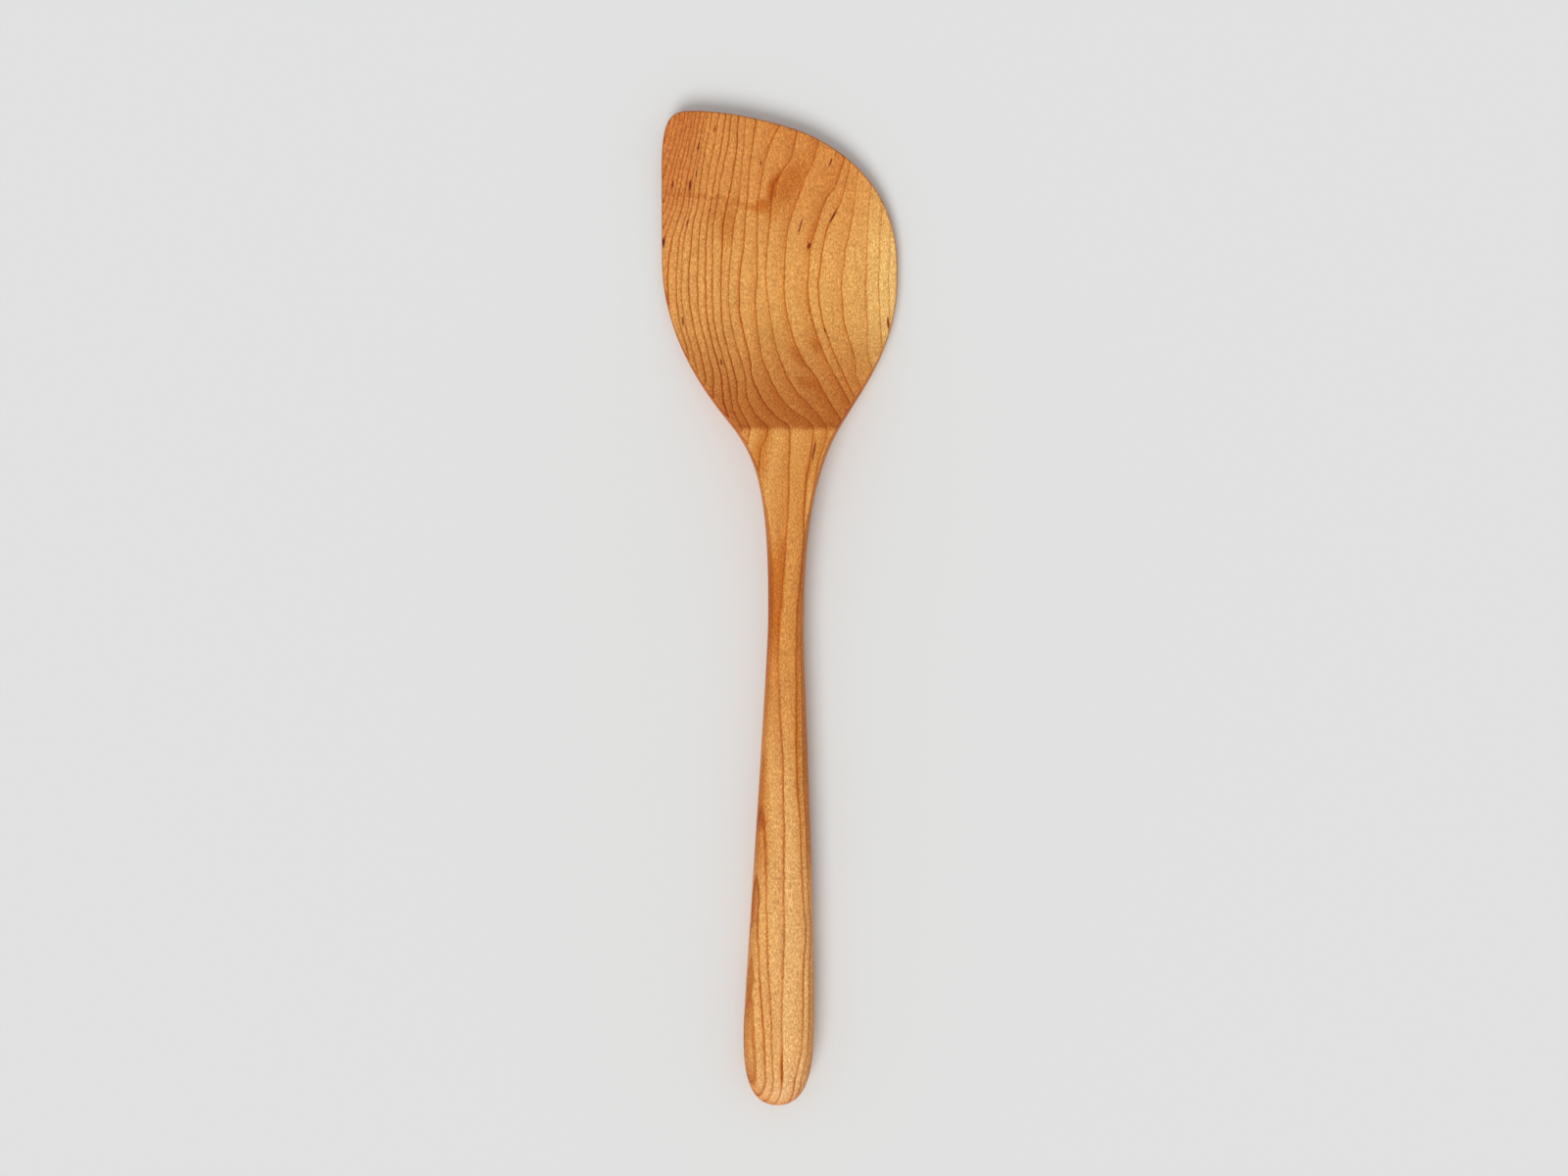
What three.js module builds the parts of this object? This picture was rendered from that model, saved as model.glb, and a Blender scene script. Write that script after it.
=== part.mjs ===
// A wok spatula carved from one board of cherry: a dished blade with one square corner, a crisp straight
// crease, a waisted neck and an oval grip. It has no joint, because the wood runs through from tip to end.
// Millimetres, lying on its back on a table: +X to the right, +Y from the grip to the tip, +Z up.
import * as THREE from "three";

// Lengths along the spatula
const OVERALL_LENGTH = 340;
const BLADE_LENGTH = 109; // from the crease to the tip
const NECK_FROM_CREASE = 67; // to the narrowest place
const GRIP_FROM_END = 27; // from the butt to the widest place of the grip
const BULGE_FROM_TIP = 57; // to the widest place of the round side
const SHOULDER_FROM_TIP = 50; // to where the straight side begins
const FLAT_LENGTH = 26; // of the level stretch below the crease
const WAIST_FROM_CREASE = 81; // to the thinnest place of the handle
const WAIST_TO_GRIP = 54; // from there to the full thickness
const HEEL_LENGTH = 52; // from the crease to the lowest place of the face
const KNEE_FROM_TIP = 34; // where the face turns up to the tip
const KNEE_SOFTNESS = 9;
const SOLE_FROM_CREASE = 39; // to the flat that the blade rests on
const SOLE_LENGTH = 18;
const ARCH_FROM_CREASE = 31; // to the highest place of the underside
const RELIEF_START = 10; // how far below the crease the back's relief begins
const RELIEF_RUN = 25; // and how long it takes to reach its full depth

// Widths, and the places across
const BLADE_WIDTH = 81;
const CREASE_LEFT = 18.9; // from the handle's axis to the outline, at the crease
const CREASE_RIGHT = 17;
const NECK_WIDTH = 12.3;
const GRIP_WIDTH = 24.1;
const AXIS_AT_CREASE = 3.3; // how far the handle's axis lies right of the blade's middle
const HANDLE_LEAN = 1; // degrees, between that axis and the straight side
const CROWN_X = 10.8; // a place on the slanting top edge
const CROWN_DROP = 8.3; // and how far it lies below the tip
const CROWN_SLOPE = 25; // degrees
const CORNER_RUN = 11.5; // the square corner, across
const CORNER_DROP = 20; // and down

// Heights and thicknesses
const GRIP_THICKNESS = 14.2;
const WAIST_TOP = 13.2;
const CREASE_TOP = 15.2;
const BLADE_THICKNESS = 4.6;
const EDGE_THICKNESS = 2.4;
const TIP_RISE = 3.8; // of the face, from its lowest place
const ARCH_HEIGHT = 2.4; // under the neck
const BACK_RELIEF = 1.8; // how far the back is eased up to the blade's edge
const RELIEF_WIDTH = 20;

// Rounding of the edges, as a width in plan
const CREASE_ROUND = 1.4;
const CREASE_BACK_ROUND = 7;
const BLADE_ROUND = 1.1;
const OVAL_FADE = 50; // from the oval neck towards the crease, to where the narrow rounding holds
const ROUND_RUN = 30; // from the crease to where the blade's own rounding holds
const HANDLE_ROUND_SHARE = 0.92; // of the handle's half width, so that a slim flat is left on top
const ROUND_POWER = 2.3; // 2 is an ellipse, and more is squarer

// Directions and tension of the outline's curves
const FLARE_LEFT = 36; // degrees from straight ahead, at the crease
const FLARE_RIGHT = 30;
const BUTT_PULL = { across: 12, along: 10.5 };
const LEFT_PULL = { grip: 6, waist: 18, neck: 47, flare: 12, crease: 7, shoulder: 31 };
const RIGHT_PULL = { grip: 38, waist: 13, neck: 14, flare: 24, crease: 17, bulge: 23.5 };
const CROWN_PULL = { bulge: 7, lower: 35.5, upper: 9.5, tip: 12 };
const CORNER_PULL = { side: 19.6, top: 7.4 };

// Facets
const CURVE_STEPS = 40;
const BUTT_ROWS = 9;
const GRIP_ROWS = 22;
const FLARE_ROWS = 13;
const HEEL_ROWS = 16;
const FAN_ROWS = 28;
const FAN_EASE = 1.4; // more than 1 closes up the rows towards the corner
const ROUND_STEPS = 5;
const FACE_STEPS = 6;
const BACK_STEPS = 8;
const ROUND_LIMIT = 0.42; // of a short row, for the rounding at each end
const PROBE = 0.2; // a small step in from the outline, to see how squarely a row meets it

const tipY = OVERALL_LENGTH / 2;
const endY = -tipY;
const creaseY = tipY - BLADE_LENGTH;
const neckY = creaseY - NECK_FROM_CREASE;
const gripY = endY + GRIP_FROM_END;
const bulgeY = tipY - BULGE_FROM_TIP;
const shoulderY = tipY - SHOULDER_FROM_TIP;
const sideX = BLADE_WIDTH / 2;

const at = (x, y) => new THREE.Vector2(x, y);
const mix = THREE.MathUtils.lerp;
const axisX = (y) => AXIS_AT_CREASE + (y - creaseY) * Math.tan(THREE.MathUtils.degToRad(HANDLE_LEAN));

// 0 to 1 along a soft S.
function smooth(share) {
  return THREE.MathUtils.smoothstep(share, 0, 1);
}

// A curve from one place to another, leaving and arriving at headings in degrees right of straight ahead.
function bend(from, headingOut, pullOut, to, headingIn, pullIn) {
  const step = (degrees, length) => {
    const angle = THREE.MathUtils.degToRad(degrees);
    return at(Math.sin(angle) * length, Math.cos(angle) * length);
  };
  const first = from.clone().add(step(headingOut, pullOut));
  const second = to.clone().sub(step(headingIn, pullIn));
  return new THREE.CubicBezierCurve(from, first, second, to);
}

// One line of points through a chain of curves.
function trace(curves) {
  const points = [curves[0].getPoint(0)];
  for (const curve of curves) points.push(...curve.getSpacedPoints(CURVE_STEPS).slice(1));
  return points;
}

// The handle's outline on one side, from the butt to the neck. side is -1 on the left and 1 on the right.
function handleSide(side, pull) {
  const butt = at(axisX(endY), endY);
  const grip = at(axisX(gripY) + (side * GRIP_WIDTH) / 2, gripY);
  const neck = at(axisX(neckY) + (side * NECK_WIDTH) / 2, neckY);
  return [
    bend(butt, side * 90, BUTT_PULL.across, grip, HANDLE_LEAN, BUTT_PULL.along),
    bend(grip, HANDLE_LEAN, pull.grip, neck, HANDLE_LEAN, pull.waist),
  ];
}

// The two sides of the outline, from the butt to the middle of the square corner.
function outlineSides() {
  const cornerSide = at(-sideX, tipY - CORNER_DROP);
  const cornerTop = at(-sideX + CORNER_RUN, tipY);
  const corner = bend(cornerSide, 0, CORNER_PULL.side, cornerTop, 90, CORNER_PULL.top);
  const cornerPoints = corner.getSpacedPoints(CURVE_STEPS);
  const half = CURVE_STEPS / 2;

  const leftHandle = handleSide(-1, LEFT_PULL);
  const leftNeck = leftHandle[1].v3;
  const leftCrease = at(axisX(creaseY) - CREASE_LEFT, creaseY);
  const shoulder = at(-sideX, shoulderY);
  const left = trace([
    ...leftHandle,
    bend(leftNeck, HANDLE_LEAN, LEFT_PULL.neck, leftCrease, -FLARE_LEFT, LEFT_PULL.flare),
    bend(leftCrease, -FLARE_LEFT, LEFT_PULL.crease, shoulder, 0, LEFT_PULL.shoulder),
    new THREE.LineCurve(shoulder, cornerSide),
  ]);
  left.push(...cornerPoints.slice(1, half + 1));

  const rightHandle = handleSide(1, RIGHT_PULL);
  const rightNeck = rightHandle[1].v3;
  const rightCrease = at(axisX(creaseY) + CREASE_RIGHT, creaseY);
  const bulge = at(sideX, bulgeY);
  const crown = at(CROWN_X, tipY - CROWN_DROP);
  const crownHeading = CROWN_SLOPE - 90;
  const right = trace([
    ...rightHandle,
    bend(rightNeck, HANDLE_LEAN, RIGHT_PULL.neck, rightCrease, FLARE_RIGHT, RIGHT_PULL.flare),
    bend(rightCrease, FLARE_RIGHT, RIGHT_PULL.crease, bulge, 0, RIGHT_PULL.bulge),
    bend(bulge, 0, CROWN_PULL.bulge, crown, crownHeading, CROWN_PULL.lower),
    bend(crown, crownHeading, CROWN_PULL.upper, cornerTop, -90, CROWN_PULL.tip),
  ]);
  right.push(...cornerPoints.slice(half, -1).reverse());
  return { left, right };
}

const { left, right } = outlineSides();
const outline = [...left, ...right.slice(1, -1).reverse()];

// Where a side crosses a height in plan, below the fan of rows at the tip.
function edgeAt(side, y) {
  const i = side.findIndex((point) => point.y >= y);
  const share = (y - side[i - 1].y) / (side[i].y - side[i - 1].y);
  return at(mix(side[i - 1].x, side[i].x, share), y);
}

// The stretch of a side from a height in plan to the corner, as points and the lengths that lead to them.
function stretchAbove(side, y) {
  const points = [edgeAt(side, y), ...side.slice(side.findIndex((point) => point.y > y))];
  const lengths = [0];
  for (let i = 1; i < points.length; i++) lengths.push(lengths[i - 1] + points[i].distanceTo(points[i - 1]));
  return { points, lengths };
}

function placeAlong({ points, lengths }, share) {
  const wanted = share * lengths.at(-1);
  const i = Math.max(1, lengths.findIndex((length) => length >= wanted));
  return points[i - 1].clone().lerp(points[i], (wanted - lengths[i - 1]) / (lengths[i] - lengths[i - 1]));
}

function distanceToOutline(point) {
  let least = Infinity;
  for (let i = 0; i < outline.length; i++) {
    const from = outline[i];
    const span = outline[(i + 1) % outline.length].clone().sub(from);
    const share = THREE.MathUtils.clamp(point.clone().sub(from).dot(span) / span.lengthSq(), 0, 1);
    least = Math.min(least, point.distanceTo(from.clone().addScaledVector(span, share)));
  }
  return least;
}

// The line of the upper side: level grip, slim waist, the flat, then down the heel and up to the tip.
function topLine(y) {
  const waistY = creaseY - WAIST_FROM_CREASE;
  if (y < waistY) return mix(WAIST_TOP, GRIP_THICKNESS, smooth((waistY - y) / WAIST_TO_GRIP));
  if (y <= creaseY)
    return mix(WAIST_TOP, CREASE_TOP, smooth((y - waistY) / (WAIST_FROM_CREASE - FLAT_LENGTH)));
  const lowY = creaseY + HEEL_LENGTH;
  if (y < lowY)
    return BLADE_THICKNESS + (CREASE_TOP - BLADE_THICKNESS) * ((lowY - y) / HEEL_LENGTH) ** 2;
  const climb = (place) => {
    const past = place - (tipY - KNEE_FROM_TIP);
    return (past + Math.hypot(past, KNEE_SOFTNESS)) / 2;
  };
  return BLADE_THICKNESS + (TIP_RISE * (climb(y) - climb(lowY))) / (climb(tipY) - climb(lowY));
}

// The line of the underside: on the table at the grip and the sole, arched between them, and up to the tip.
function bottomLine(y) {
  const archY = creaseY - ARCH_FROM_CREASE;
  const soleY = creaseY + SOLE_FROM_CREASE;
  const soleEndY = soleY + SOLE_LENGTH;
  if (y < archY) return ARCH_HEIGHT * smooth((y - gripY) / (archY - gripY));
  if (y < soleY) return ARCH_HEIGHT * smooth((soleY - y) / (soleY - archY));
  if (y <= soleEndY) return 0;
  const tipUnder = BLADE_THICKNESS + TIP_RISE - EDGE_THICKNESS - BACK_RELIEF;
  return tipUnder * ((y - soleEndY) / (tipY - soleEndY)) ** 2;
}

// How far the back is eased up near the blade's edge.
function relief(y, inside) {
  const fade = smooth((y - creaseY + RELIEF_START) / RELIEF_RUN);
  return BACK_RELIEF * fade * Math.max(0, 1 - inside / RELIEF_WIDTH) ** 2;
}

// The rounding's width in plan: oval on the handle, narrow on the blade.
function roundWidth(y, atCrease) {
  const halfAt = (place) => (edgeAt(right, place).x - edgeAt(left, place).x) / 2;
  if (y <= neckY) return HANDLE_ROUND_SHARE * halfAt(Math.max(y, gripY));
  if (y <= creaseY) {
    const share = smooth((y - neckY) / OVAL_FADE);
    return mix((HANDLE_ROUND_SHARE * NECK_WIDTH) / 2, atCrease, share);
  }
  return mix(atCrease, BLADE_ROUND, smooth((y - creaseY) / ROUND_RUN));
}

// How full the rounding is, from 0 on the outline to 1 where it ends.
function fullness(inside, width) {
  const missing = 1 - Math.min(1, inside / width);
  return (1 - missing ** ROUND_POWER) ** (1 / ROUND_POWER);
}

function surfacePoint(place, upper) {
  const y = place.y;
  const inside = distanceToOutline(place);
  const edge = (topLine(y) + bottomLine(y) + relief(y, 0)) / 2;
  const face = upper ? topLine(y) : bottomLine(y) + relief(y, inside);
  const width = roundWidth(y, upper ? CREASE_ROUND : CREASE_BACK_ROUND);
  return new THREE.Vector3(place.x, y, mix(edge, face, fullness(inside, width)));
}

// Shares along a row, closed up over the roundings at both ends. reach is each rounding's share of the row.
function sharesAcross(reachFrom, reachTo, faceSteps) {
  const rise = (i) => 1 - Math.cos((i / ROUND_STEPS) * (Math.PI / 2));
  const shares = [];
  for (let i = 1; i <= ROUND_STEPS; i++) shares.push(reachFrom * rise(i));
  for (let i = 1; i < faceSteps; i++) shares.push(mix(reachFrom, 1 - reachTo, i / faceSteps));
  for (let i = ROUND_STEPS; i > 0; i--) shares.push(1 - reachTo * rise(i));
  return shares;
}

// A closed ring of points: over the top from left to right, and back underneath.
function sectionRing(from, to) {
  const length = from.distanceTo(to);
  const reach = (end, other, width) => {
    const probe = end.clone().lerp(other, PROBE / length);
    return Math.min(ROUND_LIMIT, (width * PROBE) / (distanceToOutline(probe) * length));
  };
  const side = (start, finish, upper, steps) => {
    const atCrease = upper ? CREASE_ROUND : CREASE_BACK_ROUND;
    const reachFrom = reach(start, finish, roundWidth(start.y, atCrease));
    const reachTo = reach(finish, start, roundWidth(finish.y, atCrease));
    const shares = sharesAcross(reachFrom, reachTo, steps);
    return shares.map((share) => surfacePoint(start.clone().lerp(finish, share), upper));
  };
  return [
    surfacePoint(from, true),
    ...side(from, to, true, FACE_STEPS),
    surfacePoint(to, true),
    ...side(to, from, false, BACK_STEPS),
  ];
}

// Rows across the spatula as pairs of outline points: level ones up to the bulge, then a fan into the corner.
function rowEnds() {
  const heights = [];
  const spread = (from, to, count) => {
    for (let i = 1; i <= count; i++) heights.push(mix(from, to, i / count));
  };
  for (let i = 1; i <= BUTT_ROWS; i++)
    heights.push(endY + GRIP_FROM_END * (1 - Math.cos((i / BUTT_ROWS) * (Math.PI / 2))));
  spread(gripY, neckY, GRIP_ROWS);
  spread(neckY, creaseY, FLARE_ROWS);
  spread(creaseY, bulgeY, HEEL_ROWS);
  const rows = heights.map((y) => [edgeAt(left, y), edgeAt(right, y)]);
  const fanLeft = stretchAbove(left, bulgeY);
  const fanRight = stretchAbove(right, bulgeY);
  for (let i = 1; i < FAN_ROWS; i++) {
    const share = 1 - (1 - i / FAN_ROWS) ** FAN_EASE;
    rows.push([placeAlong(fanLeft, share), placeAlong(fanRight, share)]);
  }
  return rows;
}

// Skins a list of rings that have as many points each, and closes both ends to a point.
function loft(rings, firstPole, lastPole) {
  const count = rings[0].length;
  const points = [firstPole, ...rings.flat(), lastPole];
  const faces = [];
  const index = (row, column) => 1 + row * count + (column % count);
  for (let column = 0; column < count; column++) {
    faces.push(0, index(0, column + 1), index(0, column));
    for (let row = 0; row + 1 < rings.length; row++) {
      const near = index(row, column);
      const nearNext = index(row, column + 1);
      const far = index(row + 1, column);
      const farNext = index(row + 1, column + 1);
      faces.push(near, nearNext, far, nearNext, farNext, far);
    }
    const last = rings.length - 1;
    faces.push(index(last, column), index(last, column + 1), points.length - 1);
  }
  const geometry = new THREE.BufferGeometry().setFromPoints(points);
  geometry.setIndex(faces);
  geometry.computeVertexNormals();
  return geometry;
}

const rings = rowEnds().map(([from, to]) => sectionRing(from, to));
const body = new THREE.Mesh(
  loft(rings, surfacePoint(left[0], true), surfacePoint(left.at(-1), true)),
  new THREE.MeshStandardMaterial({ color: 0xd2904f, roughness: 0.55, metalness: 0 }),
);
body.name = "spatula_body";

const spatula = new THREE.Group();
spatula.name = "wok_spatula";
spatula.add(body);

export default spatula;
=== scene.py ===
"""A wok spatula carved from one board of cherry, lying on its back on a pale table in soft light."""
import math

import bpy
import numpy as np
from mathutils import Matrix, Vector


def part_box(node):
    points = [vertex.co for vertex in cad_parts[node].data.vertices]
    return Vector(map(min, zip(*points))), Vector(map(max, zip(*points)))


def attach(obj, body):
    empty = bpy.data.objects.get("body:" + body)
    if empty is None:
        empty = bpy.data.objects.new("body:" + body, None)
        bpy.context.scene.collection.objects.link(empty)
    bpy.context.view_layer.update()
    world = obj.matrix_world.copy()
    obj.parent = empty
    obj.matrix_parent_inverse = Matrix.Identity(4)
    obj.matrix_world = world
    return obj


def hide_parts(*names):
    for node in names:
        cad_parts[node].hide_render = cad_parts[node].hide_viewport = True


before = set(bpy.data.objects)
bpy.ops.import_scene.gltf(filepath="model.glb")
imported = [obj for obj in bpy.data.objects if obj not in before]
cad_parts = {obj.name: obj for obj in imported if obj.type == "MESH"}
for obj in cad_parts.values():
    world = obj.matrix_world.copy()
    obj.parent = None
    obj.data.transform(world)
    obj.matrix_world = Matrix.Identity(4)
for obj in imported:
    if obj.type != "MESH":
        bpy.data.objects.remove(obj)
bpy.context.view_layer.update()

NODE = "spatula_body"
MM = 0.001

# Sizes in millimetres. The frame gives the overall ones, and the rest repeat the carved body's.
LOW, HIGH = (np.array(corner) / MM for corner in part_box(NODE))
OVERALL_LENGTH = HIGH[1] - LOW[1]
BLADE_WIDTH = HIGH[0] - LOW[0]
CREASE_TOP = HIGH[2]

# Lengths along the spatula
BLADE_LENGTH = 109  # from the crease to the tip
NECK_FROM_CREASE = 67
GRIP_FROM_END = 27
BULGE_FROM_TIP = 57
SHOULDER_FROM_TIP = 50
FLAT_LENGTH = 26
WAIST_FROM_CREASE = 81
WAIST_TO_GRIP = 54
HEEL_LENGTH = 52
KNEE_FROM_TIP = 34
KNEE_SOFTNESS = 9
SOLE_FROM_CREASE = 39
SOLE_LENGTH = 18
ARCH_FROM_CREASE = 31
RELIEF_START = 10
RELIEF_RUN = 25

# Widths, and the places across
CREASE_LEFT = 18.9
CREASE_RIGHT = 17
NECK_WIDTH = 12.3
GRIP_WIDTH = 24.1
AXIS_AT_CREASE = 3.3
HANDLE_LEAN = 1  # degrees
CROWN_X = 10.8
CROWN_DROP = 8.3
CROWN_SLOPE = 25  # degrees
CORNER_RUN = 11.5
CORNER_DROP = 20

# Heights and thicknesses
GRIP_THICKNESS = 14.2
WAIST_TOP = 13.2
BLADE_THICKNESS = 4.6
EDGE_THICKNESS = 2.4
TIP_RISE = 3.8
ARCH_HEIGHT = 2.4
BACK_RELIEF = 1.8
RELIEF_WIDTH = 20

# Rounding of the edges, as a width in plan
CREASE_ROUND = 1.4
CREASE_BACK_ROUND = 7
BLADE_ROUND = 1.1
OVAL_FADE = 50
ROUND_RUN = 30
HANDLE_ROUND_SHARE = 0.92
ROUND_POWER = 2.3
CREASE_EASE = 0.8  # how far the crease is rubbed soft on each side

# Directions and tension of the outline's curves
FLARE_LEFT = 36  # degrees
FLARE_RIGHT = 30
BUTT_PULL = {"across": 12, "along": 10.5}
LEFT_PULL = {"grip": 6, "waist": 18, "neck": 47, "flare": 12, "crease": 7, "shoulder": 31}
RIGHT_PULL = {"grip": 38, "waist": 13, "neck": 14, "flare": 24, "crease": 17, "bulge": 23.5}
CROWN_PULL = {"bulge": 7, "lower": 35.5, "upper": 9.5, "tip": 12}
CORNER_PULL = {"side": 19.6, "top": 7.4}

# Fineness of the mesh
CURVE_STEPS = 48
BUTT_ROWS = 22
GRIP_ROWS = 60
FLARE_ROWS = 36
CREASE_ROWS = 10
CREASE_BAND = 1.5 * CREASE_EASE  # the crease's rows reach this far to each side
EASE_STEPS = 9
HEEL_ROWS = 44
FAN_ROWS = 90
FAN_EASE = 1.4
ROUND_STEPS = 10
FACE_STEPS = 28
BACK_STEPS = 24
ROUND_LIMIT = 0.42
PROBE = 0.2

TIP_Y = OVERALL_LENGTH / 2
END_Y = -TIP_Y
CREASE_Y = TIP_Y - BLADE_LENGTH
NECK_Y = CREASE_Y - NECK_FROM_CREASE
GRIP_Y = END_Y + GRIP_FROM_END
BULGE_Y = TIP_Y - BULGE_FROM_TIP
SIDE_X = BLADE_WIDTH / 2


def mix(first, second, share):
    return first + (second - first) * share


def smooth(share):
    share = np.clip(share, 0, 1)
    return share * share * (3 - 2 * share)


def axis_x(y):
    return AXIS_AT_CREASE + (y - CREASE_Y) * math.tan(math.radians(HANDLE_LEAN))


# The outline in plan

def heading(degrees):
    angle = math.radians(degrees)
    return np.array([math.sin(angle), math.cos(angle)])


def bend(start, out, pull_out, finish, arrive, pull_in):
    """A curve between two places, with headings in degrees right of straight ahead."""
    start, finish = np.array(start, float), np.array(finish, float)
    first = start + heading(out) * pull_out
    second = finish - heading(arrive) * pull_in
    t = np.linspace(0, 1, CURVE_STEPS + 1)[:, None]
    return (
        (1 - t) ** 3 * start
        + 3 * (1 - t) ** 2 * t * first
        + 3 * (1 - t) * t**2 * second
        + t**3 * finish
    )


def chain(*stretches):
    return np.vstack([stretches[0]] + [stretch[1:] for stretch in stretches[1:]])


def handle_side(side, pull):
    """The handle's outline from the butt to the neck. side is -1 on the left and 1 on the right."""
    butt = (axis_x(END_Y), END_Y)
    grip = (axis_x(GRIP_Y) + side * GRIP_WIDTH / 2, GRIP_Y)
    neck = (axis_x(NECK_Y) + side * NECK_WIDTH / 2, NECK_Y)
    return chain(
        bend(butt, side * 90, BUTT_PULL["across"], grip, HANDLE_LEAN, BUTT_PULL["along"]),
        bend(grip, HANDLE_LEAN, pull["grip"], neck, HANDLE_LEAN, pull["waist"]),
    )


def outline_sides():
    """Both sides of the outline, from the butt to the middle of the square corner."""
    corner_side = (-SIDE_X, TIP_Y - CORNER_DROP)
    corner_top = (-SIDE_X + CORNER_RUN, TIP_Y)
    corner = bend(corner_side, 0, CORNER_PULL["side"], corner_top, 90, CORNER_PULL["top"])
    half = CURVE_STEPS // 2

    handle = handle_side(-1, LEFT_PULL)
    crease = (axis_x(CREASE_Y) - CREASE_LEFT, CREASE_Y)
    shoulder = (-SIDE_X, TIP_Y - SHOULDER_FROM_TIP)
    left = chain(
        handle,
        bend(handle[-1], HANDLE_LEAN, LEFT_PULL["neck"], crease, -FLARE_LEFT, LEFT_PULL["flare"]),
        bend(crease, -FLARE_LEFT, LEFT_PULL["crease"], shoulder, 0, LEFT_PULL["shoulder"]),
        np.linspace(shoulder, corner_side, CURVE_STEPS),
        corner[: half + 1],
    )

    handle = handle_side(1, RIGHT_PULL)
    crease = (axis_x(CREASE_Y) + CREASE_RIGHT, CREASE_Y)
    bulge = (SIDE_X, BULGE_Y)
    crown = (CROWN_X, TIP_Y - CROWN_DROP)
    slant = CROWN_SLOPE - 90
    right = chain(
        handle,
        bend(handle[-1], HANDLE_LEAN, RIGHT_PULL["neck"], crease, FLARE_RIGHT, RIGHT_PULL["flare"]),
        bend(crease, FLARE_RIGHT, RIGHT_PULL["crease"], bulge, 0, RIGHT_PULL["bulge"]),
        bend(bulge, 0, CROWN_PULL["bulge"], crown, slant, CROWN_PULL["lower"]),
        bend(crown, slant, CROWN_PULL["upper"], corner_top, -90, CROWN_PULL["tip"]),
        corner[half:][::-1],
    )
    return left, right


LEFT, RIGHT = outline_sides()
OUTLINE = np.vstack([LEFT, RIGHT[1:-1][::-1]])


def edge_x(side, y):
    """Where a side of the outline crosses a height in plan, below the fan of rows at the tip."""
    rising = side[: np.argmax(side[:, 1]) + 1]
    return np.interp(y, rising[:, 1], rising[:, 0])


def places_above(side, y, shares):
    """Places at these shares of a side's length, from a height in plan to the corner."""
    first = np.argmax(side[:, 1] > y)
    points = np.vstack([[edge_x(side, y), y], side[first:]])
    lengths = np.concatenate([[0], np.cumsum(np.hypot(*np.diff(points, axis=0).T))])
    wanted = shares * lengths[-1]
    return np.stack([np.interp(wanted, lengths, points[:, axis]) for axis in (0, 1)], axis=1)


def distance_to_outline(points):
    least = np.full(len(points), np.inf)
    for start, finish in zip(OUTLINE, np.roll(OUTLINE, -1, axis=0)):
        span = finish - start
        share = np.clip((points - start) @ span / (span @ span), 0, 1)
        away = points - start - share[:, None] * span
        least = np.minimum(least, np.hypot(away[:, 0], away[:, 1]))
    return least


# Heights

def top_line(y):
    """The upper side: level grip, slim waist, the flat, then down the heel and up to the tip."""
    waist_y = CREASE_Y - WAIST_FROM_CREASE
    low_y = CREASE_Y + HEEL_LENGTH

    def climb(place):
        past = place - (TIP_Y - KNEE_FROM_TIP)
        return (past + np.hypot(past, KNEE_SOFTNESS)) / 2

    grip = mix(WAIST_TOP, GRIP_THICKNESS, smooth((waist_y - y) / WAIST_TO_GRIP))
    neck = mix(WAIST_TOP, CREASE_TOP, smooth((y - waist_y) / (WAIST_FROM_CREASE - FLAT_LENGTH)))
    heel = BLADE_THICKNESS + (CREASE_TOP - BLADE_THICKNESS) * ((low_y - y) / HEEL_LENGTH) ** 2
    tip = BLADE_THICKNESS + TIP_RISE * (climb(y) - climb(low_y)) / (climb(TIP_Y) - climb(low_y))
    return np.select([y < waist_y, y <= CREASE_Y, y < low_y], [grip, neck, heel], tip)


def eased_top(y):
    """The upper side with its crease rubbed soft, as sandpaper leaves it."""
    steps = np.linspace(-1, 1, EASE_STEPS)
    return np.mean([top_line(y + CREASE_EASE * step) for step in steps], axis=0)


def bottom_line(y):
    """The underside: on the table at grip and sole, arched between them, and up to the tip."""
    arch_y = CREASE_Y - ARCH_FROM_CREASE
    sole_y = CREASE_Y + SOLE_FROM_CREASE
    sole_end_y = sole_y + SOLE_LENGTH
    tip_under = BLADE_THICKNESS + TIP_RISE - EDGE_THICKNESS - BACK_RELIEF
    handle = ARCH_HEIGHT * smooth((y - GRIP_Y) / (arch_y - GRIP_Y))
    heel = ARCH_HEIGHT * smooth((sole_y - y) / (sole_y - arch_y))
    tip = tip_under * (np.maximum(0, y - sole_end_y) / (TIP_Y - sole_end_y)) ** 2
    return np.select([y < arch_y, y < sole_y], [handle, heel], tip)


def relief(y, inside):
    """How far the back is eased up near the blade's edge."""
    fade = smooth((y - CREASE_Y + RELIEF_START) / RELIEF_RUN)
    return BACK_RELIEF * fade * np.maximum(0, 1 - inside / RELIEF_WIDTH) ** 2


def round_width(y, at_crease):
    """The rounding's width in plan: oval on the handle, narrow on the blade."""
    measured = np.clip(y, GRIP_Y, NECK_Y)
    handle = HANDLE_ROUND_SHARE * (edge_x(RIGHT, measured) - edge_x(LEFT, measured)) / 2
    at_neck = HANDLE_ROUND_SHARE * NECK_WIDTH / 2
    flare = mix(at_neck, at_crease, smooth((y - NECK_Y) / OVAL_FADE))
    blade = mix(at_crease, BLADE_ROUND, smooth((y - CREASE_Y) / ROUND_RUN))
    return np.select([y <= NECK_Y, y <= CREASE_Y], [handle, flare], blade)


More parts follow.
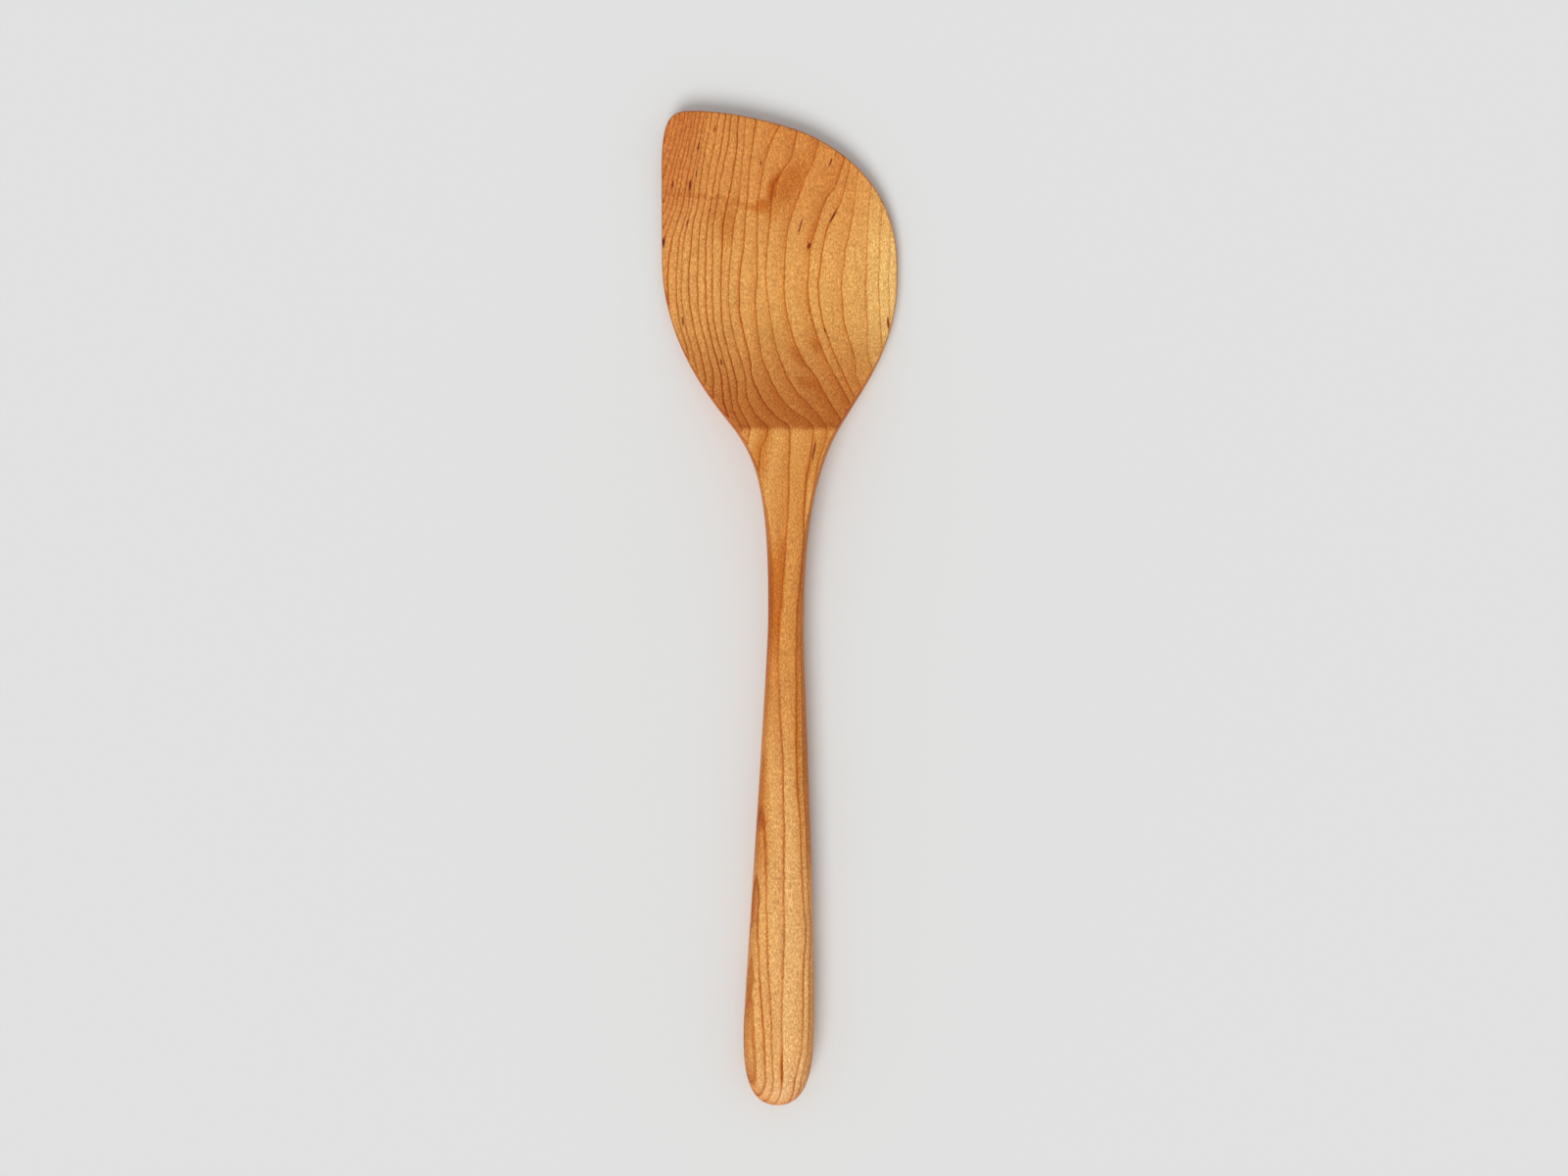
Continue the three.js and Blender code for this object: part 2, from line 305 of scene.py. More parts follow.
def raise_points(places, upper):
    """Gives places in plan their height on the upper side or the underside."""
    y = places[:, 1]
    inside = distance_to_outline(places)
    width = round_width(y, CREASE_ROUND if upper else CREASE_BACK_ROUND)
    missing = 1 - np.minimum(1, inside / width)
    fullness = (1 - missing**ROUND_POWER) ** (1 / ROUND_POWER)
    edge = (eased_top(y) + bottom_line(y) + relief(y, np.zeros_like(y))) / 2
    face = eased_top(y) if upper else bottom_line(y) + relief(y, inside)
    return np.column_stack([places, mix(edge, face, fullness)])


# The mesh

def row_ends():
    """Rows across the spatula: level ones up to the bulge, then a fan into the square corner."""
    near, far = CREASE_Y - CREASE_BAND, CREASE_Y + CREASE_BAND
    butt = GRIP_FROM_END * (1 - np.cos(np.linspace(0, np.pi / 2, BUTT_ROWS + 1)))
    heights = np.concatenate([
        END_Y + butt[1:],
        np.linspace(GRIP_Y, NECK_Y, GRIP_ROWS + 1)[1:],
        np.linspace(NECK_Y, near, FLARE_ROWS + 1)[1:],
        np.linspace(near, far, CREASE_ROWS + 1)[1:],
        np.linspace(far, BULGE_Y, HEEL_ROWS + 1)[1:],
    ])
    shares = 1 - (1 - np.arange(1, FAN_ROWS) / FAN_ROWS) ** FAN_EASE
    ends = []
    for side in (LEFT, RIGHT):
        level = np.column_stack([edge_x(side, heights), heights])
        ends.append(np.vstack([level, places_above(side, BULGE_Y, shares)]))
    return ends


def skin_places(starts, finishes, at_crease, steps):
    """Places along each row, closed up over the roundings at both ends."""
    lengths = np.hypot(*(finishes - starts).T)

    def reach(end, other):
        probe = end + (other - end) * (PROBE / lengths)[:, None]
        width = round_width(end[:, 1], at_crease)
        return np.minimum(ROUND_LIMIT, width * PROBE / distance_to_outline(probe) / lengths)

    rise = 1 - np.cos(np.linspace(0, np.pi / 2, ROUND_STEPS + 1)[1:])
    near = reach(starts, finishes)[:, None]
    far = reach(finishes, starts)[:, None]
    middle = mix(near, 1 - far, (np.arange(1, steps) / steps)[None, :])
    shares = np.hstack([near * rise, middle, 1 - far * rise[::-1]])
    return starts[:, None, :] + (finishes - starts)[:, None, :] * shares[:, :, None]


def spatula_mesh():
    starts, finishes = row_ends()
    over = skin_places(starts, finishes, CREASE_ROUND, FACE_STEPS)
    under = skin_places(finishes, starts, CREASE_BACK_ROUND, BACK_STEPS)

    def raised(places, upper):
        return raise_points(places.reshape(-1, 2), upper).reshape(len(starts), -1, 3)

    rings = np.concatenate([
        raised(starts[:, None, :], True),
        raised(over, True),
        raised(finishes[:, None, :], True),
        raised(under, False),
    ], axis=1)
    rows, count = rings.shape[:2]
    poles = raise_points(np.array([LEFT[0], LEFT[-1]]), True)
    points = np.vstack([poles[:1], rings.reshape(-1, 3), poles[1:]]) * MM
    last = len(points) - 1

    def index(row, column):
        return 1 + row * count + column % count

    faces = []
    for column in range(count):
        faces.append((0, index(0, column + 1), index(0, column)))
        faces.append((index(rows - 1, column), index(rows - 1, column + 1), last))
        for row in range(rows - 1):
            near = (index(row, column), index(row, column + 1))
            far = (index(row + 1, column + 1), index(row + 1, column))
            faces.append(near + far)
    mesh = bpy.data.meshes.new("spatula")
    mesh.from_pydata(points.tolist(), [], faces)
    mesh.shade_smooth()
    return mesh


# Materials

def srgb(*levels):
    """A colour given in display levels from 0 to 255, as linear light."""
    shares = [level / 255 for level in levels]
    return tuple(v / 12.92 if v <= 0.04045 else ((v + 0.055) / 1.055) ** 2.4 for v in shares) + (1,)


class Look:
    """A material whose nodes are added and linked by short calls."""

    def __init__(self, name):
        self.material = bpy.data.materials.new(name)
        self.material.use_nodes = True
        self.tree = self.material.node_tree
        self.tree.nodes.clear()

    def add(self, kind, *inputs, **settings):
        node = self.tree.nodes.new(kind)
        for key, value in settings.items():
            setattr(node, key, value)
        for socket, value in zip(node.inputs, inputs):
            self.put(socket, value)
        return node

    def put(self, socket, value):
        if isinstance(value, bpy.types.NodeSocket):
            self.tree.links.new(value, socket)
        else:
            socket.default_value = value

    def math(self, operation, *values, clamp=False):
        return self.add("ShaderNodeMath", *values, operation=operation, use_clamp=clamp).outputs[0]

    def total(self, *values):
        result = values[0]
        for value in values[1:]:
            result = self.math("ADD", result, value)
        return result

    def fade(self, value, start, finish, low=0.0, high=1.0):
        """A soft step, from low at start to high at finish."""
        settings = {"interpolation_type": "SMOOTHSTEP"}
        return self.add("ShaderNodeMapRange", value, start, finish, low, high, **settings).outputs[0]

    def blend(self, share, first, second, kind="MIX"):
        node = self.add("ShaderNodeMix", data_type="RGBA", blend_type=kind)
        self.put(node.inputs["Factor"], share)
        self.put(node.inputs[6], first)
        self.put(node.inputs[7], second)
        return node.outputs[2]

    def place(self, x, y, z):
        return self.add("ShaderNodeCombineXYZ", x, y, z).outputs[0]

    def stretch(self, vector, x, y, z):
        return self.add("ShaderNodeVectorMath", vector, (x, y, z), operation="MULTIPLY").outputs[0]

    def noise(self, vector, detail, roughness):
        """Soft noise around 0, at one swell per unit of the vector."""
        node = self.add("ShaderNodeTexNoise")
        self.put(node.inputs["Vector"], vector)
        node.inputs["Scale"].default_value = 1.0
        node.inputs["Detail"].default_value = detail
        node.inputs["Roughness"].default_value = roughness
        return self.math("SUBTRACT", node.outputs[0], 0.5)

    def curve(self, value, points, handle="AUTO_CLAMPED"):
        """A free curve through points of input and output, level beyond both ends."""
        xs, ys = zip(*points)
        low_x, span_x = min(xs), max(xs) - min(xs)
        low_y, span_y = min(ys), max(ys) - min(ys)
        share = self.math("DIVIDE", self.math("SUBTRACT", value, low_x), span_x, clamp=True)
        node = self.add("ShaderNodeFloatCurve", 1.0, share)
        line = node.mapping.curves[0]
        while len(line.points) < len(points):
            line.points.new(0.5, 0.5)
        for knot, (x, y) in zip(line.points, sorted(points)):
            knot.location = ((x - low_x) / span_x, (y - low_y) / span_y)
            knot.handle_type = handle
        node.mapping.update()
        return self.math("MULTIPLY_ADD", node.outputs[0], span_y, low_y)

    def surface(self, inputs):
        """Ends the material in a shader with these inputs by name."""
        shader = self.add("ShaderNodeBsdfPrincipled")
        for name, value in inputs.items():
            self.put(shader.inputs[name], value)
        self.add("ShaderNodeOutputMaterial", shader.outputs[0])
        return self.material


# Ring lines of the wood, in millimetres. A line's place is where it crosses the middle of the blade.
RING_PLACES = [
    -66, -63, -60, -57, -54, -51, -48, -45.9, -43.2, -41.2, -38.2, -35.3, -33.7, -31, -28, -25.2, -22.8,
    -19.9, -16.9, -13.2, -7.5, -4.5, 1.9, 10.3, 13.6, 22, 30.1, 35.3, 39.2, 43, 47, 51, 55, 58.5, 62,
]
# How far a ring lies further left for each millimetre down, at places along the spatula.
RING_SLOPES = [(-170, 0.8), (-60, 0.8), (61, 1.6), (170, 1.6)]

# The run of some of those lines as (y, x), from the tip over the face and down the handle.
RING_LINES = {
    -66: [(166, -42.2), (161, -43.7), (151, -48), (141, -51.5), (131, -57.7), (116, -66), (99, -65),
          (84, -61)],
    -31: [(166, -23.6), (151, -26.3), (141, -27.7), (131, -29.7), (116, -31), (107, -31), (99, -30),
          (91, -28), (84, -26.3), (79, -25.3)],
    -22.8: [(166, -16.8), (158, -17.7), (153, -18.9), (143, -20.8), (136, -22), (128, -22.8),
            (116, -22.9), (107, -22.8), (99, -22.3), (91, -20.8), (84, -18.9), (74, -16.8),
            (66, -15.2), (61, -12.6), (56, -13.6),
            (-125, -10.9), (-132, -10.1), (-145, -8.9), (-153, -8.2), (-160, -8)],
    -19.9: [(166, -14.2), (151, -15.6), (141, -17.3), (131, -19.3), (116, -19.9), (107, -19.9), (99, -19.6),
            (91, -18.3), (84, -16.3), (74, -14.2), (66, -12.6), (61, -9.6), (56, -10.6),
            (-97, -8.9), (-112, -7.3), (-130, -6.5), (-142, -5.4), (-160, -4.8)],
    -16.9: [(166, -11.6), (151, -12.9), (141, -13.9), (131, -15.6), (116, -16.9), (107, -17.3), (99, -16.6),
            (91, -14.9), (84, -12.9), (74, -11), (66, -8.2), (61, -3.6), (56, -5.1), (49, -6.9),
            (-72, -5.9), (-83, -4.8), (-104, -4.4), (-119, -3.9), (-132, -3.2), (-142, -2.6), (-160, -2.2)],
    -13.2: [(166, -8.2), (151, -10.2), (141, -10.9), (131, -11.8), (116, -13.2), (107, -13.6), (99, -13.2),
            (91, -11.4), (84, -9.9), (74, -7.3), (66, -2.2), (61, 3.7), (41, 3.2), (31, 2.8), (15, 1.6),
            (2, 0.5), (-13, -0.5), (-27, -0.2), (-42, 0.7), (-57, 1.2), (-79, 1.5), (-110, 1.6), (-128, 1.2),
            (-142, 0.9), (-160, 0.9)],
    -7.5: [(165, 0.2), (160, -2.6), (155, -4.4), (149, -5.8), (141, -7), (131, -7.5), (116, -7.5),
           (107, -8.2), (99, -7.9), (91, -6.9), (84, -5.3), (74, -0.8), (66, 6.2), (61, 11.9),
           (51, 10.8), (39, 8.9), (31, 8.5), (15, 7.8), (2, 6.4), (-11, 5.9), (-42, 5.9), (-57, 6.1),
           (-75, 7.2), (-95, 8), (-104, 8.7), (-110, 9.3), (-117, 8.7), (-124, 8.4), (-146, 8.1),
           (-154, 6.9), (-160, 5.4)],
    -4.5: [(163, 5.9), (156, 4.4), (151, 1.5), (147, -0.9), (142, -2.7), (136, -3.1), (129, -3.8),
           (116, -4.6), (107, -4.3), (103, -3.7), (96, -2.6), (89, -1.3), (79, 2.5), (69, 10.2), (61, 16.2)],
    1.9: [(161, 13.8), (154, 12), (149, 9.5), (141, 6.5), (131, 3.2), (126, 2.4), (116, 1.8), (107, 1.7),
          (99, 2.9), (91, 5.2), (84, 8.3), (77, 13.6), (66, 19.5)],
    10.3: [(160, 24), (153.4, 22.4), (150, 21.2), (146, 20.1), (143.5, 18.8), (141, 16.8), (138, 15.3),
           (134, 14), (130, 12.6), (123, 10.8), (117, 10.2), (107, 10), (99, 11.3), (91, 13.9), (84, 16.7),
           (74, 21.8)],
    13.6: [(156, 25), (146, 23), (141, 21.7), (136, 19.3), (131, 16.7), (124, 15), (116, 13.6), (107, 13.3),
           (99, 14.6), (91, 17.3), (84, 20), (74, 24.4)],
    22: [(148, 26.7), (138, 25.7), (130, 24.4), (123, 22.8), (117, 22.1), (107, 21.5), (96, 22.8), (90, 24.4),
         (82, 25.9), (77, 26.9)],
    30.1: [(141, 31.1), (131, 30.5), (116, 30.1), (99, 30.1), (91, 30.2), (84, 31)],
    62: [(166, 62), (84, 62)],
}
TRACED_ON_HANDLE = (-22.8, -7.5)  # the outer two of the lines that are given there


def ring_slope(y):
    """The rings' slope at a place along the spatula."""
    return np.interp(y, *zip(*RING_SLOPES))


def ring_levels(line):
    """The points of a line as (y, level), where a level is the line's place at the blade's own height."""
    places = np.array([(x, y) for y, x in line], float)
    y = places[:, 1]
    height = np.where(y > CREASE_Y, top_line(y), raise_points(places, True)[:, 2])
    levels = places[:, 0] - ring_slope(y) * (height - BLADE_THICKNESS)
    return list(zip(y.tolist(), levels.tolist()))


def ring_guides():
    """Each guiding ring with its levels. A ring with no line on the handle keeps beside one that has."""
    guides = {ring: ring_levels(line) for ring, line in RING_LINES.items()}
    for ring in guides:
        near = float(np.clip(ring, *TRACED_ON_HANDLE))
        if ring != near:
            handle = [(y, level + ring - near) for y, level in guides[near] if y < CREASE_Y]
            guides[ring] = guides[ring] + handle
    return {ring: sorted(points) for ring, points in guides.items()}


GUIDES = ring_guides()


# Marks in the wood, seen on the face and the handle's top: (x, y, half width, half length, strength)
GUM_FLECKS = [
    (17.3, 152.6, 0.35, 1.7, 0.9), (-6.3, 152.2, 0.4, 1.0, 0.8), (18.6, 134.3, 0.5, 2.4, 0.9),
    (10.2, 124.2, 0.7, 1.2, 0.95), (7.1, 131, 0.35, 3, 0.85), (-30.7, 144.8, 0.45, 2.4, 1.0),
    (-28.4, 148.7, 0.3, 1.4, 0.8), (-27.8, 158, 0.35, 1.8, 0.9), (-36.6, 145.2, 0.45, 1.6, 0.9),
    (-31.8, 132.2, 0.4, 1.4, 0.7), (-39.4, 124.5, 0.6, 3, 1.0), (-22.3, 163.8, 0.3, 1.5, 0.8),
    (-33.2, 98.2, 0.4, 1.7, 0.8), (-20, 84, 0.5, 1.4, 0.7), (15.6, 95.1, 0.4, 1.1, 0.8),
    (37.2, 97.5, 0.5, 2.8, 0.95), (11.7, 53, 0.35, 4, 0.9), (19, 155.5, 0.3, 1.2, 0.5),
]
DARK_PATCHES = [
    (-2, 144, 2.4, 7, 0.9), (2.4, 145.5, 5.5, 10, 0.6), (-2, 138, 4.5, 6, 0.45), (-6, 138.3, 3.6, 3.4, 0.75),
    (-10, 138.4, 4.5, 1.8, 0.5), (-16, 138.9, 5, 1.6, 0.45), (-22, 140.2, 5, 1.3, 0.42),
    (-29, 141, 6, 1.2, 0.4), (-36, 142, 5, 1.2, 0.35), (-18, 131, 3.8, 8, 0.5), (-22, 135.5, 6, 5, 0.35),
    (12.3, 89.3, 2.4, 2.4, 0.5), (6.4, 86.2, 3, 5, 0.4), (9.6, 76.3, 3.6, 3, 0.45), (11.2, 128, 1.8, 8, 0.45),
    (-6.6, 52, 3.6, 16, 0.65), (14.5, 53, 4, 18, 0.45), (10.9, 50, 1.3, 15, 0.6), (-0.6, 4, 3.4, 28, 0.8),
    (-12.5, 58.5, 3, 6, 0.4), (17.5, 59, 2.5, 6, 0.4), (3.5, 5, 9, 68, 0.4),
    (6.2, -30, 1.6, 70, 0.75), (9, -56, 2.6, 44, 0.6), (-7.6, -52, 2.2, 38, 0.5),
    (-6.9, -73, 2, 4.5, 0.6), (-6, -82, 2.4, 11, 0.35), (-10, -159, 1.4, 3, 0.25), (0.7, -155.5, 0.8, 8, 1.0),
]
MARK_DEPTH = 5  # millimetres that a mark reaches down, and up


def ring_at(level, y):
    """The place of the ring that has this level."""
    levels = [np.interp(y, *zip(*points)) for points in GUIDES.values()]
    return float(np.interp(level, levels, list(GUIDES)))


# Noises in the wood: swells per millimetre across and along, detail and roughness
GRAINS = {
    "wander": (0.06, 0.025, 2, 0.5),
    "ripple": (0.35, 0.14, 2, 0.5),
    "uneven": (0.1, 0.03, 2, 0.5),
    "fibre": (1.5, 0.06, 3, 0.6),
    "speckle": (2.3, 1, 2, 0.7),
    "mottle": (0.16, 0.06, 3, 0.55),
    "pores": (3.2, 0.4, 1, 0.5),
}
WANDER = 1  # millimetres that the noises move a ring line
RIPPLE = 0.7

# How far a ring line fades in millimetres, before it and past it, and its widening on the handle
LINE_BEFORE = 0.7
LINE_PAST = 0.35
HANDLE_WIDENING = 0.35
# Strength of the ring lines: by place on the blade, by place on the handle, and by chance
LINE_STRENGTH = [(-66, 0.7), (-45, 0.9), (-31, 1.1), (-20, 1.1), (11, 1.05), (20, 0.8), (40, 0.75)]
HANDLE_STRENGTH = [
    (-25, 0.6), (-19.9, 0.9), (-16.9, 1.15), (-13.2, 0.75), (-10.5, 0.8), (-7.5, 1.3), (-4.5, 0.8),
]
CHANCE_LEAST = 0.65
CHANCE_SPAN = 0.45

# Soft steps as (start, finish), with (low, high) after them where they don't run from 0 to 1
# Over the place along the spatula
HANDLE_STEP = (64, 36)  # ring lines take on the handle's strength
HEEL_SHARE = 0.87  # how much of the heel's length is dark
HEEL_START_STEP = (CREASE_Y - 2 * CREASE_EASE, CREASE_Y + CREASE_EASE)
HEEL_END_STEP = (CREASE_Y + HEEL_SHARE * HEEL_LENGTH, CREASE_Y)
TIP_STEP = (116, 148)
CROWN_STEP = (152, 168, 0, 0.22)
BUTT_STEP = (-148, -167)
SPECKLE_STEP = (-10, -90, 2.1, 2.3)  # speckles are a little deeper on the grip
# Over the ring's place
PALE_STEP = (13, 15, 1, 0.6)  # late wood is fainter on the right
SIDE_STEP = (-40, 25)  # from the left tones to the right ones
FAR_LEFT_STEP = (-30, -46)
FAR_RIGHT_STEP = (19, 42)
GRIP_STEP = (-17.5, -12, 0.35, 1)  # the grip is paler on the right
# Over how far the surface faces up, which is 1 where it lies flat
HEEL_FACING_STEP = (0, 0.4)  # the heel's tone stays off the back
# Painted shade on the sides: none where the surface lies flat, full where it stands steep
EDGE_SHADE_STEP = (0.92, 0.6)
# Over a ring's width, and over noise
WIDE_STEP = (2, 6, 0.5, 1)  # late wood is fuller in a wide ring
UNEVEN_STEP = (-0.25, 0.25, 0.7, 1.15)  # strength along a ring line
PORE_STEP = (0.13, 0.23)

# Tones in display levels: early wood, late wood and ring lines
LEFT_TONES = (232, 166, 90), (214, 135, 56), (184, 90, 6)
RIGHT_TONES = (235, 169, 89), (222, 144, 63), (190, 98, 8)
FAR_LEFT_TONES = (226, 155, 83), (208, 128, 55)
FAR_RIGHT_TONES = (246, 195, 116), (236, 176, 92)
GRIP_TONES = (245, 188, 118), (232, 165, 94)
GRIP_PALENESS = [(-135, 1), (-100, 0.8), (-67, 0.48), (-10, 0.15), (50, 0)]
PORE_TONE = (160, 76, 16)
TABLE_TONE = (234, 235, 234)

# What the oil leaves of red, green and blue where it sinks in fully, and how far it sinks in. The heel's tint
# is partly oil and partly painted shade, and the edge's tint is painted shade on the sides.
OIL_AND_SHADE_TINTS = {
    "heel": (0.735, 0.48, 0.31, 1),
    "tip": (0.79, 0.52, 0.32, 1),
    "butt": (0.94, 0.96, 1.15, 1),
    "patch": (0.71, 0.4, 0, 1),
    "edge": (0.72, 0.48, 0.28, 1),
    "fleck": (0.27, 0.05, 0, 1),
}
# Depth of the heel's darkening, partly oil in the end grain and partly painted shade, and how much more it
# takes in late wood
HEEL_OIL_AND_SHADE = 0.95
HEEL_LATE_OIL_AND_SHADE = 0.4
TIP_OIL = [(-60, 0.7), (-38, 0.62), (-25, 0.45), (-10, 0.5), (0, 0.65), (8, 0.6), (20, 0.48)]
# Strength of the painted shade on the sides, by place along the spatula
EDGE_SHADE = [(-128, 0.75), (-107, 0.5), (-82, 0.85)]
PATCH_CORE = 0.35
FLECK_CORE = 0.5
MARK_END = 1.2
PATCH_FRAY = (1.2, 8, 0)  # how far the noises move a patch's rim, in rings, along and up

# Depth of the fine grain, in colour and in height
PORE_DEPTH = 0.35
FIBRE_DEPTH = 0.4
MOTTLE_DEPTH = 0.35
FIGURE_DEPTHS = (0.75, 1, 1.2)  # in red, green and blue
FIBRE_HEIGHT = 0.5
PORE_HEIGHT = -0.4
BUMP_STRENGTH = 0.12
BUMP_HEIGHT = 0.1
ROUGHNESS = 0.5
FIBRE_ROUGHNESS = 0.2
TABLE_ROUGHNESS = 0.9
SPECULAR = 0.2


class Cherry(Look):
    """Oiled cherry: growth rings that fill the board, with marks, tones and fine grain."""

    def __init__(self):
        super().__init__("oiled_cherry")
        coordinates = self.add("ShaderNodeTexCoord").outputs
        self.spot = self.stretch(coordinates["Object"], 1 / MM, 1 / MM, 1 / MM)
        self.across, self.along, self.up = self.add("ShaderNodeSeparateXYZ", self.spot).outputs
        self.facing_up = self.add("ShaderNodeSeparateXYZ", coordinates["Normal"]).outputs[2]
        self.fibre = self.grain("fibre")
        self.speckle = self.grain("speckle")
        self.mottle = self.grain("mottle")
        self.pores = self.fade(self.grain("pores"), *PORE_STEP)
        self.field, self.spread = self.ring_field()
        numbers = [(place, number) for number, place in enumerate(RING_PLACES)]
        widths = [((a + b) / 2, b - a) for a, b in zip(RING_PLACES, RING_PLACES[1:])]
        self.number = self.curve(self.field, numbers, "VECTOR")
        self.width = self.curve(self.field, widths, "VECTOR")
        self.share = self.math("FRACT", self.number)
        self.late = self.late_wood()

    def grain(self, name):
        """Noise around 0 that is drawn out along the board."""
        across, along, detail, roughness = GRAINS[name]
        return self.noise(self.stretch(self.spot, across, along, across), detail, roughness)

    def ring_field(self):
        """The place of the ring through a point, and how many millimetres apart two places lie there."""
        waved = self.total(
            self.across,
            self.math("MULTIPLY", self.grain("wander"), WANDER),
            self.math("MULTIPLY", self.grain("ripple"), RIPPLE),
        )
        slope = self.curve(self.along, RING_SLOPES, "VECTOR")
        drop = self.math("MULTIPLY", self.math("SUBTRACT", self.up, BLADE_THICKNESS), slope)
        level = self.math("SUBTRACT", waved, drop)
        curves = [(ring, self.curve(self.along, points)) for ring, points in GUIDES.items()]
        field = float(curves[0][0])
        spread = 1.0
        for (ring, guide), (next_ring, next_guide) in zip(curves, curves[1:]):
            step = float(next_ring - ring)
            gap = self.math("SUBTRACT", next_guide, guide)
            share = self.math("DIVIDE", self.math("SUBTRACT", level, guide), gap, clamp=True)
            field = self.math("MULTIPLY_ADD", share, step, field)
            change = self.math("SUBTRACT", self.math("DIVIDE", gap, step), spread)
            spread = self.math("MULTIPLY_ADD", self.math("GREATER_THAN", share, 0), change, spread)
        return field, spread

    def late_wood(self):
        """How late in its ring's year the wood grew, as a depth of tone."""
        late = self.math("MULTIPLY", self.share, self.share)
        for depth in (self.fade(self.width, *WIDE_STEP), self.fade(self.field, *PALE_STEP)):
            late = self.math("MULTIPLY", late, depth)
        return late

    def ring_line(self):
        """How strongly a point lies on the dark line at the end of a ring."""
        past = self.math("MULTIPLY", self.share, self.width)
        before = self.math("SUBTRACT", self.width, past)
        on_handle = self.fade(self.along, *HANDLE_STEP)
        widening = self.math("MULTIPLY_ADD", on_handle, HANDLE_WIDENING, 1)
        reach = self.math("DIVIDE", widening, self.math("MAXIMUM", self.spread, 1))
        line = self.math(
            "MAXIMUM",
            self.fade(past, 0, self.math("MULTIPLY", reach, LINE_PAST), 1, 0),
            self.fade(before, 0, self.math("MULTIPLY", reach, LINE_BEFORE), 1, 0),
        )
        chance = self.add("ShaderNodeTexWhiteNoise", noise_dimensions="1D")
        self.put(chance.inputs["W"], self.math("ROUND", self.number))
        handle_change = self.math("SUBTRACT", self.curve(self.field, HANDLE_STRENGTH), 1)
        for strength in (
            self.curve(self.field, LINE_STRENGTH),
            self.math("MULTIPLY_ADD", chance.outputs["Value"], CHANCE_SPAN, CHANCE_LEAST),
            self.fade(self.grain("uneven"), *UNEVEN_STEP),
            self.math("MULTIPLY_ADD", on_handle, handle_change, 1),
        ):
            line = self.math("MULTIPLY", line, strength, clamp=True)
        return line

    def toned(self):
        """Early and late wood with the ring lines, paler to the right and on the grip."""
        side = self.fade(self.field, *SIDE_STEP)
        early, late, line = (
            self.blend(side, srgb(*left), srgb(*right)) for left, right in zip(LEFT_TONES, RIGHT_TONES)
        )
        on_grip = self.math(
            "MULTIPLY", self.curve(self.along, GRIP_PALENESS), self.fade(self.field, *GRIP_STEP)
        )
        for part, (early_tone, late_tone) in (
            (self.fade(self.field, *FAR_LEFT_STEP), FAR_LEFT_TONES),
            (self.fade(self.field, *FAR_RIGHT_STEP), FAR_RIGHT_TONES),
            (on_grip, GRIP_TONES),
        ):
            early = self.blend(part, early, srgb(*early_tone))
            late = self.blend(part, late, srgb(*late_tone))
        return self.blend(self.ring_line(), self.blend(self.late, early, late), line)

    def marked(self, grain, marks, core):
        """How strongly a point lies in a mark. A mark is full to this share of its size, and then fades."""
        strongest = 0.0
        for x, y, half_width, half_length, strength in marks:
            (_, level), = ring_levels([(y, x)])
            height = float(raise_points(np.array([(x, y)], float), True)[0, 2])
            centre = (ring_at(level, y), y, height)
            half_rings = (ring_at(level + half_width, y) - ring_at(level - half_width, y)) / 2
            offset = self.add("ShaderNodeVectorMath", grain, centre, operation="SUBTRACT").outputs[0]
            scaled = self.stretch(offset, 1 / half_rings, 1 / half_length, 1 / MARK_DEPTH)
            away = self.add("ShaderNodeVectorMath", scaled, operation="LENGTH").outputs["Value"]
            strongest = self.math("MAXIMUM", strongest, self.fade(away, core, MARK_END, strength, 0))
        return strongest

    def oiled_and_shaded(self, colour):
        """Deepens a colour where oil sinks in across the fibres and in the marks, with painted shade along
        the edges and partly painted shade on the heel.
        """
        # The heel's darkening: partly oil in the end grain, partly painted shade on the slope that turns away
        # from the light
        heel = self.math("MULTIPLY_ADD", self.late, HEEL_LATE_OIL_AND_SHADE, HEEL_OIL_AND_SHADE)
        for limit in (
            self.fade(self.along, *HEEL_START_STEP),
            self.fade(self.along, *HEEL_END_STEP),
            self.fade(self.facing_up, *HEEL_FACING_STEP),
        ):
            heel = self.math("MULTIPLY", heel, limit)
        towards_tip = self.math("ADD", self.fade(self.along, *TIP_STEP), self.fade(self.along, *CROWN_STEP))
        edge_shade_depth = self.curve(self.along, EDGE_SHADE)
        grain = self.place(self.field, self.along, self.up)
        stray = self.stretch(self.place(self.speckle, self.mottle, self.fibre), *PATCH_FRAY)
        frayed = self.add("ShaderNodeVectorMath", grain, stray, operation="ADD").outputs[0]
        for name, depth in (
            ("heel", heel),
            ("tip", self.math("MULTIPLY", towards_tip, self.curve(self.field, TIP_OIL))),
            ("butt", self.fade(self.along, *BUTT_STEP)),
            ("patch", self.marked(frayed, DARK_PATCHES, PATCH_CORE)),
            # painted shade on the sides, deepest where they stand upright
            ("edge", self.fade(self.math("ABSOLUTE", self.facing_up), *EDGE_SHADE_STEP, 0, edge_shade_depth)),
            ("fleck", self.marked(grain, GUM_FLECKS, FLECK_CORE)),
        ):
            colour = self.blend(depth, colour, OIL_AND_SHADE_TINTS[name], "MULTIPLY")
        return colour

    def figured(self, colour):
        """Adds the pores, fibres, speckles and mottling to a colour."""
        colour = self.blend(self.math("MULTIPLY", self.pores, PORE_DEPTH), colour, srgb(*PORE_TONE))
        figure = self.total(
            self.math("MULTIPLY", self.fibre, FIBRE_DEPTH),
            self.math("MULTIPLY", self.speckle, self.fade(self.along, *SPECKLE_STEP)),
            self.math("MULTIPLY", self.mottle, MOTTLE_DEPTH),
        )
        shades = [self.math("POWER", math.exp(depth), figure) for depth in FIGURE_DEPTHS]
        return self.blend(1.0, colour, self.place(*shades), "MULTIPLY")

